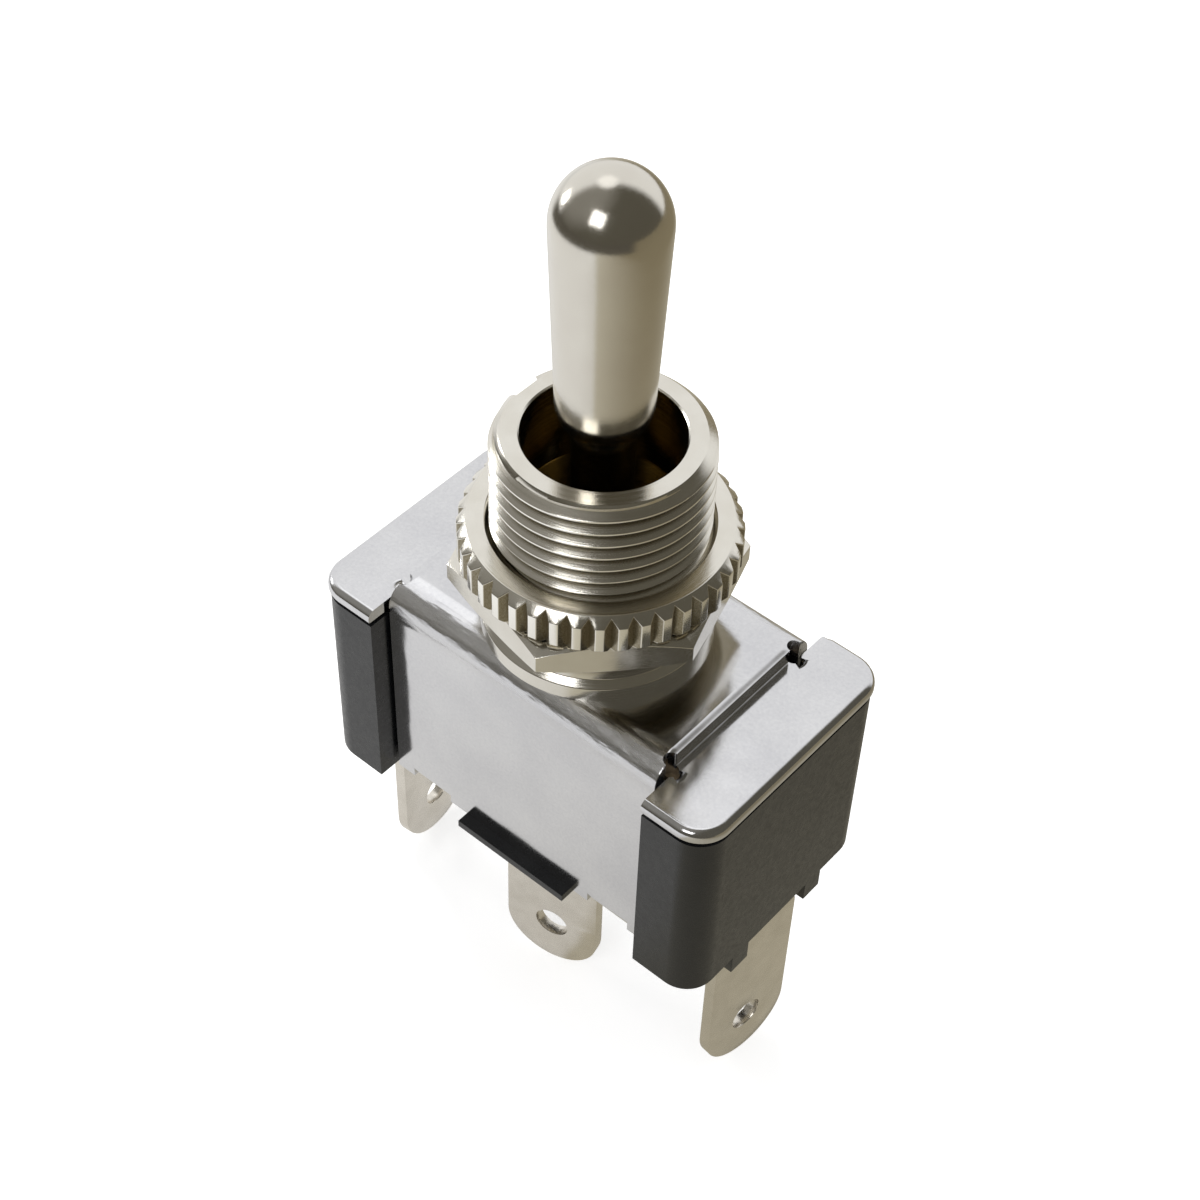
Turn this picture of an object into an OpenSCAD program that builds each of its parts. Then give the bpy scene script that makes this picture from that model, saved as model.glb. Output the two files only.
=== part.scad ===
// Panel toggle switch, single pole, on - off - on, with a bat handle.
// Millimetres. +Z runs up the bushing, +X along the body towards the side the handle is thrown to.
// The origin lies on the bushing's axis at the seating plane, the top face of the serrated nut.

/* [Bushing] */
// Outside diameter of the bushing's thread
thread_d = 11.91; // [10:0.01:14]
// Distance from one ridge of the thread to the next
thread_pitch = 0.87; // [0.5:0.01:1.2]
// Depth of the thread, as a share of that distance
depth_share = 0.46; // [0.3:0.01:0.55]
// Width left flat on each ridge, as a share of that distance
land_share = 0.22; // [0.1:0.01:0.3]
// Diameter of the stretch under the two nuts, where the threads mesh
mesh_d = 11.1; // [9.6:0.01:13]
// Height of the bushing above the frame
bushing_h = 13.6; // [10:0.1:20]
// Diameter of the bore that the handle comes out of
mouth_d = 8.7; // [7:0.05:10]
// Depth of that bore from the bushing's top
mouth_depth = 5.4; // [3:0.1:7]
// Width of the flat ring at the bushing's top
top_ring = 1.03; // [0.5:0.01:1.5]
// Height of the chamfer that leads into the thread
lead_h = 0.6; // [0.3:0.05:1]
// Diameter of the collar that sits on the frame
collar_d = 13.0; // [11.5:0.1:16]
// Height of the collar
collar_h = 3.1; // [2:0.1:5]
// Radius round the collar's upper edge
collar_round = 0.9; // [0.2:0.05:1.5]
// Width of the keyway along the thread
keyway_w = 2.0; // [1:0.05:3]
// Depth of the keyway
keyway_depth = 0.8; // [0.3:0.05:1]
// Diameter of the tail that goes down through the frame
tail_d = 10.4; // [9:0.1:12]
// Gap round the tail in the frame's hole
tail_gap = 0.02; // [0.01:0.01:0.1]
// Diameter of the tail's staked rim under the frame
stake_d = 11.0; // [10.5:0.1:13]
// Thickness of the staked rim
stake_h = 0.45; // [0.3:0.05:0.6]
// Diameter of the hollow under the ball, at the tail's lower end
flare_d = 7.8; // [7:0.1:9]

/* [Nuts] */
// Size across the hexagon nut's flats
hex_af = 14.3; // [13:0.1:18]
// Thickness of the hexagon nut
hex_h = 2.0; // [1.5:0.1:4]
// How far the hexagon nut stands turned from the body's long axis
hex_turn = 47; // [0:1:60]
// Diameter over the serrated nut's teeth
face_nut_d = 15.4; // [14:0.1:20]
// Thickness of the serrated nut
face_nut_h = 2.4; // [1.8:0.1:4]
// Number of teeth round the serrated nut
teeth = 40; // [20:1:60]
// Depth of the gaps between the teeth
tooth_depth = 0.42; // [0.2:0.02:0.6]
// Share of a tooth's pitch left flat on its crest
crest_share = 0.38; // [0.1:0.02:0.6]
// Width of the chamfers on both nuts
nut_chamfer = 0.5; // [0.2:0.05:0.8]
// Gap round the mesh between nut and bushing, on the radius
nut_gap = 0.03; // [0.01:0.01:0.1]
// Width of the countersink round the serrated nut's thread
sink_w = 0.64; // [0.2:0.02:0.8]

/* [Handle] */
// Throw of the handle to each side, in degrees
throw = 12.5; // [8:0.5:12.5]
// Height of the handle's tip above the bushing
handle_h = 16.25; // [12:0.25:25]
// Diameter of the handle at its tip
tip_d = 6.06; // [5:0.02:7]
// Diameter of the handle at its lower end
foot_d = 5.2; // [4:0.02:6]
// Height of the lower end's rounding centre above the bushing
foot_rise = 2.3; // [2.2:0.05:4]
// Diameter of the neck in the bushing's mouth
neck_d = 3.4; // [2.6:0.05:3.6]
// Diameter of the ball that the handle turns on
ball_d = 5.4; // [5:0.05:5.6]
// Gap between ball and bushing, on the radius
ball_gap = 0.08; // [0.04:0.01:0.15]
// Height of the ball's centre above the frame
pivot_h = 4.3; // [4:0.05:4.6]
// Diameter of the arm below the ball
arm_d = 4.6; // [4.4:0.05:4.8]
// Depth of the arm's end below the ball's centre
arm_reach = 9.5; // [8.5:0.1:9.8]
// Diameter of the plunger's hole in the arm
socket_d = 3.3; // [3.2:0.02:3.4]
// Depth of the hole's end below the ball's centre
socket_top = 3.1; // [2.9:0.05:3.6]
// Diameter of the cross pin
pin_d = 1.6; // [1.2:0.05:1.8]
// Length of the cross pin
pin_len = 10.8; // [9:0.1:11]
// Gap between cross pin and ball, on the radius
pin_gap = 0.03; // [0.01:0.01:0.08]

/* [Plunger] */
// Gap between plunger and hole, on the radius
plunger_gap = 0.05; // [0.02:0.01:0.08]
// Diameter of the plunger's rounded nose
nose_d = 2.4; // [2:0.05:2.8]
// Depth of the nose's centre below the ball's centre
nose_reach = 11.1; // [10.8:0.05:11.4]
// Depth of the spring's seat on the plunger below the ball's centre
seat_reach = 7.1; // [6.8:0.05:7.6]
// Length of the spigot inside the spring
spigot_len = 1.1; // [0.6:0.1:1.5]
// Diameter of the spigot
spigot_d = 1.6; // [1.2:0.05:1.9]
// Travel of the plunger into the arm
plunger_travel = 0.8; // [0.4:0.05:1]
// Wire diameter of the spring
wire_d = 0.36; // [0.3:0.01:0.42]
// Gap between spring and hole, on the radius
spring_gap = 0.12; // [0.08:0.01:0.2]
// Number of coils in the spring
coils = 5; // [3:1:6]

/* [Frame] */
// Length of the frame over its end plates
frame_l = 28.6; // [26:0.1:34]
// Width of the frame's end plates
frame_w = 16.1; // [15:0.1:20]
// Thickness of the sheet
sheet = 0.8; // [0.6:0.05:1]
// Drop from the raised middle to the end plates
joggle = 0.95; // [0.85:0.05:1.2]
// Length of the raised middle
raised_l = 19.4; // [18:0.1:22]
// Width over the two side walls
walls_w = 13.24; // [12.8:0.02:15]
// Depth of the side walls
walls_h = 15.4; // [14.8:0.1:18]
// Radius outside the bend into the side walls
bend_r = 1.3; // [1:0.05:2]
// Radius of the end plates' outer corners
plate_r = 2.0; // [0.8:0.1:3]
// Width of each clinch tab
tab_w = 3.0; // [2:0.1:3.6]
// Length of each clinch tab under the base
tab_len = 1.5; // [1:0.1:1.8]
// Distance of the clinch tabs from the middle
tab_x = 6.9; // [6.4:0.1:7.6]

/* [Base] */
// How far the base stands in from the end plates' edges
base_inset = 0.12; // [0:0.02:0.3]
// Gap between the base's blocks and the frame's walls
wall_gap = 0.05; // [0.02:0.01:0.2]
// Length of each wall opening cut into the base's sides
waist_l = 19.84; // [19.6:0.02:22.4]
// Thickness of the base's floor
floor_t = 1.8; // [1.5:0.1:2.2]
// Thickness of the base's end walls
end_wall = 0.73; // [0.6:0.01:1]
// Thickness of the base's side walls at the waist
waist_wall = 1.17; // [0.9:0.01:1.5]
// Radius of the hollow's corners
hollow_r = 0.8; // [0.4:0.1:1.5]
// Width of the ledge under the walls' lower edges
ledge_w = 8.2; // [6:0.1:9]
// How far the ledge stands out past each wall
ledge_out = 0.75; // [0.3:0.05:1.2]
// Thickness of the ledge
ledge_h = 0.5; // [0.3:0.05:0.8]
// Width of each foot under the end faces
stub_w = 1.5; // [1:0.1:1.8]
// Distance of the feet from the middle of the end faces
stub_y = 3.4; // [3.3:0.05:3.9]
// Thickness of the feet
stub_t = 0.7; // [0.4:0.05:0.75]
// Height of the feet
stub_h = 1.4; // [0.6:0.1:2]
// Thickness of the fibre sheet under the frame
fibre_t = 0.35; // [0.2:0.05:0.5]
// How far the fibre sheet stands in from the base's edges
fibre_inset = 0.5; // [0.2:0.05:0.8]
// Diameter of the hole in the fibre sheet
fibre_hole = 8.4; // [8:0.1:9]

/* [Terminals] */
// Width of the terminal blades
blade_w = 6.35; // [5:0.05:6.6]
// Thickness of the terminal blades
blade_t = 0.8; // [0.6:0.05:0.9]
// Length of the blades below the base
blade_reach = 14.1; // [8:0.1:16]
// Diameter of the wire hole in each blade
wire_hole_d = 2.2; // [1.4:0.1:3]
// Distance of the wire hole from the blade's end
hole_rise = 3.5; // [2.5:0.1:5]
// Distance of the outer blades from the frame's ends
side_in = 1.3; // [1.2:0.02:1.4]
// How far the outer blades stand off the middle line
side_y = 0.65; // [0:0.05:0.7]
// Distance of the middle blade from the middle line
common_y = 3.2; // [3:0.05:3.5]
// Twist that locks the middle blade in the floor, in degrees
common_twist = 12; // [0:1:15]
// Twist that locks the +X blade in the floor, in degrees
right_twist = 7; // [0:1:8]
// Twist that locks the -X blade in the floor, in degrees
left_twist = 5; // [0:1:8]
// Length of the twisted stretch just below the base
twist_h = 1.6; // [1:0.1:2.5]
// Gap round each blade in its slot
slot_gap = 0.04; // [0.02:0.01:0.1]
// Length of the outer terminals' feet on the floor
side_foot = 5.4; // [4.8:0.1:6]
// Length of the middle terminal's foot on the floor
common_foot = 6.5; // [6.4:0.1:7.2]
// Diameter of the fixed contacts
fixed_d = 3.0; // [2.4:0.1:3.4]

/* [Rocker] */
// Tilt of the contact bar to each side, in degrees
tilt = 7; // [5:0.5:7]
// Height of the bar's pivot above the floor
bar_rise = 3.6; // [3.5:0.05:4]
// Distance of the contacts from the outer blades
contact_in = 3.4; // [3:0.1:4]
// How far the contact bar reaches past its contacts
bar_end = 1.5; // [1.2:0.1:1.9]
// Width of the contact bar
bar_w = 3.8; // [3.4:0.1:4]
// Thickness of the contact bar
bar_t = 0.8; // [0.6:0.05:1]
// Diameter of the bar's trunnions
trunnion_d = 1.2; // [1:0.05:1.4]
// Length over the trunnions
trunnion_l = 6.2; // [6:0.1:6.6]
// Gap between trunnions and cradle, on the radius
trunnion_gap = 0.03; // [0.01:0.01:0.08]
// Diameter of the moving contacts
moving_d = 2.6; // [2:0.1:3]
// Thickness of the moving contacts below the bar
moving_h = 0.55; // [0.4:0.05:0.7]
// Radius of the domed faces of the moving contacts
dome_r = 4; // [3:0.5:8]
// Gap left between the contacts at full tilt
touch_gap = 0.03; // [0.01:0.01:0.06]
// Length of the saddle on the bar
saddle_l = 7.0; // [6.4:0.1:7.4]
// Height of the saddle above the bar
saddle_h = 2.65; // [2.4:0.05:2.8]
// Gap between the plunger's nose and the saddle
nose_gap = 0.03; // [0.01:0.01:0.06]
// Distance of the saddle's two pegs from the middle
peg_x = 2.4; // [2:0.1:2.8]
// Diameter of the saddle's pegs
peg_d = 1.2; // [0.8:0.1:1.6]
// Thickness of the cradle's sheet
cradle_t = 0.6; // [0.4:0.05:0.8]
// Width of the cradle's ears
ear_w = 3.0; // [2.6:0.1:3.6]
// Gap between the bar and the cradle's ears
ear_gap = 0.4; // [0.2:0.05:0.5]
// Diameter of the rivet's shank through the cradle
rivet_d = 1.8; // [1.4:0.1:2.2]
// Diameter of the rivet's heads
rivet_head_d = 3.0; // [2.6:0.1:3.4]
// Thickness of the rivet's heads
rivet_head_h = 0.45; // [0.3:0.05:0.5]

/* [Hidden] */
$fn = 96;
eps = 0.01;
twist_step = 0.02;
twist_lap = 0.1;

// Levels
frame_top = -(collar_h + hex_h + face_nut_h);
hex_base = frame_top + collar_h;
face_nut_base = hex_base + hex_h;
bushing_top = frame_top + bushing_h;
plate_top = frame_top - joggle;
plate_base = plate_top - sheet;
base_top = plate_base - fibre_t;
base_base = frame_top - walls_h;
floor_z = base_base + floor_t;
pivot_z = frame_top + pivot_h;
bar_z = floor_z + bar_rise;
foot_top = floor_z + blade_t;
blade_end = base_base - blade_reach;

// Base
base_l = frame_l - 2 * base_inset;
base_w = frame_w - 2 * base_inset;
base_r = plate_r - base_inset;
waist_w = walls_w - 2 * sheet - 2 * wall_gap;
pocket_y = waist_w / 2 - tab_len - wall_gap;
hollow_l = base_l - 2 * end_wall;
hollow_w = waist_w - 2 * waist_wall;
side_x = frame_l / 2 - side_in;

// Contact bar
contact_x = side_x - contact_in;
bar_l = 2 * (contact_x + bar_end);

// Bushing
mesh_r = mesh_d / 2;
ball_r = ball_d / 2;
race_r = ball_r + ball_gap;
ring_r = mouth_d / 2 + top_ring;
thread_r = thread_d / 2;
root_r = thread_r - depth_share * thread_pitch;
flank = (thread_r - root_r) * tan(30);
groove_half = (1 - land_share) * thread_pitch / 2;

// Handle
tip_r = tip_d / 2;
foot_r = foot_d / 2;
tip_z = bushing_top + handle_h - tip_r;
foot_z = bushing_top + foot_rise;

// Plunger and spring
plunger_r = socket_d / 2 - plunger_gap;
nose_r = nose_d / 2;
nose_z = pivot_z - nose_reach;
seat_z = pivot_z - seat_reach;
socket_z = pivot_z - socket_top;
coil_r = socket_d / 2 - spring_gap - wire_d / 2;
spring_len = socket_z - seat_z - 2 * eps;
coil_pitch = (spring_len - wire_d) / coils;
coil_tilt = asin(coil_pitch / 4 / coil_r);

// Saddle groove: the arc that the nose follows in the tilting bar's own frame
nose_up = nose_z - bar_z;
end_x = nose_reach * sin(throw);
end_up = pivot_z - nose_reach * cos(throw) - bar_z;
path_x = end_x * cos(tilt) - end_up * sin(tilt);
path_up = end_x * sin(tilt) + end_up * cos(tilt) - nose_up;
path_r = (path_x * path_x + path_up * path_up) / (2 * path_up);
groove_r = path_r + nose_r + nose_gap;
groove_z = nose_z + path_r;

// Contacts: the fixed ones stand just below the lowest point the domed ones reach
dome_low = -bar_t / 2 - moving_h;
dome_mid = dome_low + dome_r;
dome_reach = dome_mid * cos(tilt) - contact_x * sin(tilt) - dome_r;
fixed_top = bar_z + dome_reach - touch_gap;
fixed_x = contact_x * cos(tilt) + dome_mid * sin(tilt);

// Cradle
ears_w = bar_w + 2 * ear_gap;
cradle_w = ears_w + 2 * cradle_t;

// A rectangle with round corners, kept as true arcs
module round_rect(l, w, r) {
  square([l - 2 * r, w], center = true);
  square([l, w - 2 * r], center = true);
  for (x = [-1, 1]) {
    for (y = [-1, 1]) {
      translate([x * (l / 2 - r), y * (w / 2 - r)]) circle(r = r);
    }
  }
}

// The base's outline: two full-width end blocks and a waist between the frame's walls
module base_plan(inset) {
  difference() {
    round_rect(base_l - 2 * inset, base_w - 2 * inset, base_r - inset);
    for (y = [-1, 1]) {
      translate([-waist_l / 2 - inset, y > 0 ? waist_w / 2 - inset : -base_w])
        square([waist_l + 2 * inset, base_w - waist_w / 2 + inset]);
    }
  }
}

// A cut from edge to edge along Y, for the outline of a bent sheet
module bend_profile(w, h, t, r) {
  difference() {
    union() {
      translate([-w / 2 + r, -h]) square([w - 2 * r, h]);
      translate([-w / 2, -h]) square([w, h - r]);
      for (x = [-1, 1]) {
        translate([x * (w / 2 - r), -r]) circle(r = r);
      }
    }
    translate([-w / 2 + r, -h - eps]) square([w - 2 * r, h - t + eps]);
    translate([-w / 2 + t, -h - eps]) square([w - 2 * t, h - r + eps]);
    for (x = [-1, 1]) {
      translate([x * (w / 2 - r), -r]) circle(r = r - t);
    }
  }
}

module base() {
  color([0.16, 0.16, 0.17])
  difference() {
    union() {
      translate([0, 0, base_base]) linear_extrude(base_top - base_base) base_plan(0);
      translate([-ledge_w / 2, -walls_w / 2 - ledge_out, base_base - ledge_h])
        cube([ledge_w, walls_w + 2 * ledge_out, ledge_h]);
      for (x = [-1, 1]) {
        for (y = [-1, 1]) {
          translate([x > 0 ? base_l / 2 - stub_t : -base_l / 2, y * stub_y - stub_w / 2, base_base - stub_h])
            cube([stub_t, stub_w, stub_h + eps]);
        }
      }
    }
    translate([0, 0, floor_z]) linear_extrude(walls_h) round_rect(hollow_l, hollow_w, hollow_r);
    for (x = [-1, 1]) {
      translate([x * side_x, -side_y, floor_z]) blade_slot(90);
      for (y = [-1, 1]) {
        translate([x * tab_x - tab_w / 2 - wall_gap, y > 0 ? pocket_y : -base_w, base_base - eps])
          cube([tab_w + 2 * wall_gap, base_w - pocket_y, sheet + wall_gap + eps]);
      }
    }
    translate([0, -common_y, floor_z]) blade_slot(0);
    // the middle blade starts its twist inside the ledge, so its slot is wider there
    translate([-blade_w / 2 - ledge_h, -common_y - blade_t / 2 - ledge_h, base_base - ledge_h - eps])
      cube([blade_w + 2 * ledge_h, blade_t + 2 * ledge_h, ledge_h + eps]);
    translate([0, 0, base_base - rivet_head_h - eps]) cylinder(d = rivet_head_d + 0.2, h = rivet_head_h + eps);
    translate([0, 0, base_base - walls_h]) cylinder(d = rivet_d, h = 2 * walls_h);
  }
}

// The slot a blade passes through in the floor
module blade_slot(turn) {
  rotate(turn)
    translate([-blade_w / 2 - slot_gap, -blade_t / 2 - slot_gap, -2 * floor_t])
      cube([blade_w + 2 * slot_gap, blade_t + 2 * slot_gap, 3 * floor_t]);
}

module fibre_sheet() {
  color([0.45, 0.36, 0.26])
  translate([0, 0, base_top])
    linear_extrude(fibre_t)
      difference() {
        base_plan(fibre_inset);
        circle(d = fibre_hole);
      }
}

module frame() {
  color([0.84, 0.84, 0.85])
  difference() {
    union() {
      // raised middle with its two side walls
      difference() {
        translate([-raised_l / 2, 0, frame_top])
          rotate([90, 0, 90]) linear_extrude(raised_l) bend_profile(walls_w, walls_h, sheet, bend_r);
        for (x = [-1, 1]) {
          translate([x * tab_x - tab_w / 2, -walls_w, base_base - eps]) cube([tab_w, 2 * walls_w, sheet + eps]);
        }
      }
      for (x = [-1, 1]) {
        mirror([x > 0 ? 0 : 1, 0, 0]) {
          // end plate
          translate([0, 0, plate_base])
            linear_extrude(sheet)
              intersection() {
                round_rect(frame_l, frame_w, plate_r);
                translate([waist_l / 2, -frame_w / 2]) square([frame_l / 2, frame_w]);
              }
          // step between the raised middle and the end plate
          translate([0, walls_w / 2 - bend_r, frame_top]) rotate([90, 0, 0])
            linear_extrude(walls_w - 2 * bend_r) joggle_profile();
          // clinch tabs bent in under the base
          for (y = [-1, 1]) {
            mirror([0, y > 0 ? 0 : 1, 0])
              translate([tab_x - tab_w / 2, walls_w / 2, base_base + sheet]) rotate([90, 0, 90])
                linear_extrude(tab_w) tab_profile();
          }
        }
      }
    }
    translate([0, 0, frame_top - 2 * sheet]) cylinder(d = tail_d + 2 * tail_gap, h = 3 * sheet);
    // relief notches where the bends, the step and the walls meet
    for (x = [-1, 1]) {
      for (y = [-1, 1]) {
        translate([x * raised_l / 2, y * (walls_w / 2 - bend_r), plate_base - eps])
          cylinder(r = 0.45, h = joggle + sheet + 2 * eps);
      }
    }
  }
}

// The sheet's section where it steps down to an end plate, seen along Y
module joggle_profile() {
  r = 0.35;
  difference() {
    union() {
      translate([raised_l / 2 - 2 * sheet, -joggle - sheet]) square([2 * sheet - r, joggle + sheet]);
      translate([raised_l / 2 - 2 * sheet, -joggle - sheet]) square([2 * sheet, joggle + sheet - r]);
      translate([raised_l / 2 - r, -r]) circle(r = r);
      translate([raised_l / 2 - eps, -joggle - sheet]) square([waist_l / 2 - raised_l / 2 + 4 * eps, sheet]);
    }
    translate([raised_l / 2 - 2 * sheet - eps, -joggle - sheet - eps])
      square([sheet + eps, joggle + eps]);
  }
}

// The clinch tab's section, seen along X: down the wall, round, and in under the base
module tab_profile() {
  difference() {
    union() {
      translate([-sheet, 0]) circle(r = sheet);
      translate([-wall_gap - sheet - tab_len, -sheet]) square([wall_gap + tab_len, sheet]);
      translate([-sheet, -eps]) square([sheet, 2 * eps]);
    }
    translate([-2 * sheet, eps]) square([2 * sheet, sheet]);
    translate([-2 * sheet, 0]) square([sheet, sheet]);
  }
}

module bushing() {
  color([0.80, 0.78, 0.72])
  difference() {
    rotate_extrude() bushing_profile();
    translate([-thread_r - 1, -keyway_w / 2, frame_top + collar_h])
      cube([1 + keyway_depth, keyway_w, bushing_h]);
    translate([0, 0, pivot_z]) rotate([90, 0, 0]) cylinder(d = pin_d, h = pin_len, center = true);
  }
}

module bushing_profile() {
  difference() {
    union() {
      translate([0, frame_top - sheet - stake_h]) square([stake_d / 2, stake_h]);
      translate([0, frame_top - sheet - eps]) square([tail_d / 2, sheet + 2 * eps]);
      translate([0, frame_top]) square([collar_d / 2, collar_h - collar_round]);
      translate([0, frame_top]) square([collar_d / 2 - collar_round, collar_h]);
      translate([collar_d / 2 - collar_round, hex_base - collar_round]) circle(r = collar_round);
      translate([0, frame_top]) square([mesh_r, -frame_top + eps]);
      polygon([
        [0, 0], [thread_r, 0], [thread_r, bushing_top - lead_h], [ring_r, bushing_top], [0, bushing_top]
      ]);
    }
    for (level = [thread_pitch / 2 : thread_pitch : bushing_top]) {
      translate([0, level]) thread_groove();
    }
    polygon([
      [-1, frame_top - sheet - stake_h - eps], [flare_d / 2, frame_top - sheet - stake_h - eps],
      [race_r, pivot_z - ball_r * 0.4], [race_r, pivot_z + ball_r * 0.6],
      [mouth_d / 2, bushing_top - mouth_depth], [mouth_d / 2, bushing_top + eps], [-1, bushing_top + eps]
    ]);
  }
}

// One turn of the thread's 60 degree groove, in the section, as a ring round the bushing
module thread_groove() {
  past = 0.2;
  polygon([
    [root_r, flank - groove_half], [thread_r + past, -groove_half - past * tan(30)],
    [thread_r + past, groove_half + past * tan(30)], [root_r, groove_half - flank]
  ]);
}

module hex_nut() {
  color([0.80, 0.78, 0.72])
  intersection() {
    translate([0, 0, hex_base])
      difference() {
        rotate(hex_turn) cylinder(d = hex_af / cos(30), h = hex_h, $fn = 6);
        translate([0, 0, -eps]) cylinder(r = mesh_r + nut_gap, h = hex_h + 2 * eps);
      }
    rotate_extrude()
      polygon([
        [0, hex_base], [hex_af / 2 + nut_chamfer, hex_base],
        [hex_af / 2 + 2 * nut_chamfer, hex_base + nut_chamfer * 0.6],
        [hex_af / 2 + 2 * nut_chamfer, face_nut_base - nut_chamfer * 1.1],
        [hex_af / 2 - nut_chamfer * 0.2, face_nut_base], [0, face_nut_base]
      ]);
  }
}

module serrated_nut() {
  outer = face_nut_d / 2;
  color([0.82, 0.80, 0.75])
  intersection() {
    translate([0, 0, face_nut_base])
      linear_extrude(face_nut_h)
        difference() {
          circle(r = outer);
          circle(r = mesh_r + nut_gap);
          for (i = [0 : teeth - 1]) {
            rotate(i * 360 / teeth) tooth_gap(outer);
          }
        }
    rotate_extrude()
      polygon([
        [0, face_nut_base], [outer - nut_chamfer * 0.5, face_nut_base], [outer, face_nut_base + nut_chamfer * 0.5],
        [outer, -nut_chamfer], [outer - nut_chamfer, 0], [mesh_r + nut_gap + sink_w, 0],
        [mesh_r, -nut_gap - sink_w], [0, -nut_gap - sink_w]
      ]);
  }
}

// One gap between two teeth of the serrated nut
module tooth_gap(outer) {
  half = PI * outer / teeth * (1 - crest_share);
  polygon([[outer - tooth_depth, 0], [outer + 0.1, half * (1 + 0.1 / tooth_depth)], [outer + 0.1, -half * (1 + 0.1 / tooth_depth)]]);
}

module cross_pin() {
  color([0.72, 0.72, 0.72])
  translate([0, 0, pivot_z]) rotate([90, 0, 0]) cylinder(d = pin_d, h = pin_len, center = true);
}

module lever() {
  color([0.82, 0.80, 0.75])
  difference() {
    union() {
      rotate_extrude() lever_profile();
    }
    translate([0, 0, pivot_z - arm_reach - eps]) cylinder(d = socket_d, h = arm_reach - socket_top + eps);
    translate([0, 0, pivot_z]) rotate([90, 0, 0]) cylinder(r = pin_d / 2 + pin_gap, h = ball_d, center = true);
  }
}

module lever_profile() {
  intersection() {
    translate([0, frame_top - walls_h]) square([tip_d, walls_h + 60]);
    union() {
      translate([0, tip_z]) circle(r = tip_r);
      translate([0, foot_z]) circle(r = foot_r);
      translate([0, pivot_z]) circle(r = ball_r);
      polygon([[0, foot_z], [foot_r, foot_z], [tip_r, tip_z], [0, tip_z]]);
      translate([0, pivot_z]) square([neck_d / 2, foot_z - pivot_z]);
      translate([0, pivot_z - arm_reach]) square([arm_d / 2, arm_reach - ball_r * 0.4]);
    }
  }
}

module plunger() {
  color([0.90, 0.88, 0.80])
  rotate_extrude()
    union() {
      intersection() {
        translate([0, nose_z]) circle(r = nose_r);
        translate([0, nose_z - nose_r]) square([nose_r, 2 * nose_r]);
      }
      polygon([
        [0, nose_z], [nose_r, nose_z], [nose_r, nose_z + 0.5], [plunger_r, nose_z + 1],
        [plunger_r, seat_z], [spigot_d / 2, seat_z], [spigot_d / 2, seat_z + spigot_len - 0.2],
        [spigot_d / 2 - 0.2, seat_z + spigot_len], [0, seat_z + spigot_len]
      ]);
    }
}

module plunger_spring() {
  color([0.70, 0.70, 0.72])
  for (i = [0 : 2 * coils - 1]) {
    translate([0, 0, seat_z + eps + wire_d / 2 + (i + 0.5) * coil_pitch / 2])
      rotate(i * 180) rotate([0, coil_tilt, 0]) rotate_extrude(angle = 180, $fn = 48)
        translate([coil_r, 0]) circle(d = wire_d, $fn = 16);
  }
}

module saddle() {
  color([0.62, 0.22, 0.14])
  difference() {
    union() {
      translate([-saddle_l / 2, -bar_w / 2, bar_z + bar_t / 2]) cube([saddle_l, bar_w, saddle_h]);
      for (x = [-1, 1]) {
        translate([x * peg_x, 0, bar_z - bar_t / 2]) cylinder(d = peg_d, h = bar_t + eps);
      }
    }
    translate([0, 0, groove_z]) rotate([90, 0, 0]) cylinder(r = groove_r, h = 2 * bar_w, center = true);
  }
}

module contact_bar() {
  color([0.78, 0.50, 0.30])
  difference() {
    union() {
      translate([-bar_l / 2 + bar_w / 2, -bar_w / 2, bar_z - bar_t / 2]) cube([bar_l - bar_w, bar_w, bar_t]);
      for (x = [-1, 1]) {
        translate([x * (bar_l - bar_w) / 2, 0, bar_z - bar_t / 2]) cylinder(d = bar_w, h = bar_t);
      }
      intersection() {
        translate([0, 0, bar_z]) rotate([90, 0, 0]) cylinder(d = trunnion_d, h = trunnion_l, center = true);
        translate([-bar_w, -trunnion_l, bar_z - trunnion_d]) cube([2 * bar_w, 2 * trunnion_l, trunnion_d + bar_t / 2]);
      }
    }
    for (x = [-1, 1]) {
      translate([x * peg_x, 0, bar_z - bar_t]) cylinder(d = peg_d + 0.02, h = 2 * bar_t);
      translate([x * contact_x, 0, bar_z - bar_t]) cylinder(d = moving_d * 0.5 + 0.02, h = 2 * bar_t);
    }
  }
}

module moving_contact(side) {
  color([0.86, 0.86, 0.84])
  translate([side * contact_x, 0, bar_z]) {
    intersection() {
      translate([0, 0, -bar_t / 2 - moving_h]) cylinder(d = moving_d, h = moving_h);
      translate([0, 0, dome_mid]) sphere(r = dome_r);
    }
    translate([0, 0, -bar_t / 2 - eps]) cylinder(d = moving_d * 0.5, h = bar_t + eps);
    translate([0, 0, bar_t / 2]) cylinder(d1 = moving_d * 0.75, d2 = moving_d * 0.6, h = 0.2);
  }
}

module moving_contact_left() {
  moving_contact(-1);
}

module moving_contact_right() {
  moving_contact(1);
}

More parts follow.
